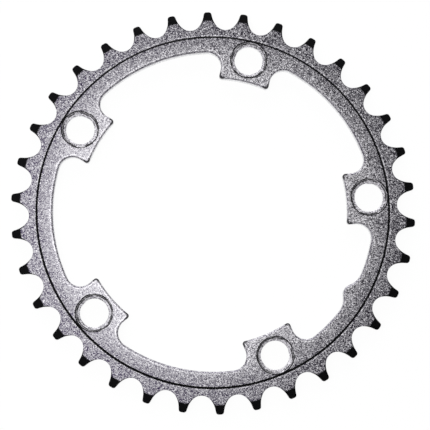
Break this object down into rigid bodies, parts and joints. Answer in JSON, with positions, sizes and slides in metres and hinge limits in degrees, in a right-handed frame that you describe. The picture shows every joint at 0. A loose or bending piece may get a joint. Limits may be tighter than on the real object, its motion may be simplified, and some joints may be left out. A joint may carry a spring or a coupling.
{
  "type": "bicycle chainring",
  "caption": "Flat toothed ring that bolts to a bicycle crank and drives its chain, with counterbored bolt tabs inside and bevelled tooth tips outside.",
  "frame": {"origin": "centre of the ring on its back face, which seats on the crank spider", "axes": "+Z along the ring's axis, out of the counterbored face; +X through the alignment nub"},
  "size_m": [0.142, 0.1422, 0.0032],
  "materials": {
    "blasted_aluminium": "bead-blasted, with dark turned tooth tips and shoulder line"
  },
  "bodies": {
    "root": {"chainring": "blasted_aluminium"}
  },
  "joints": []
}
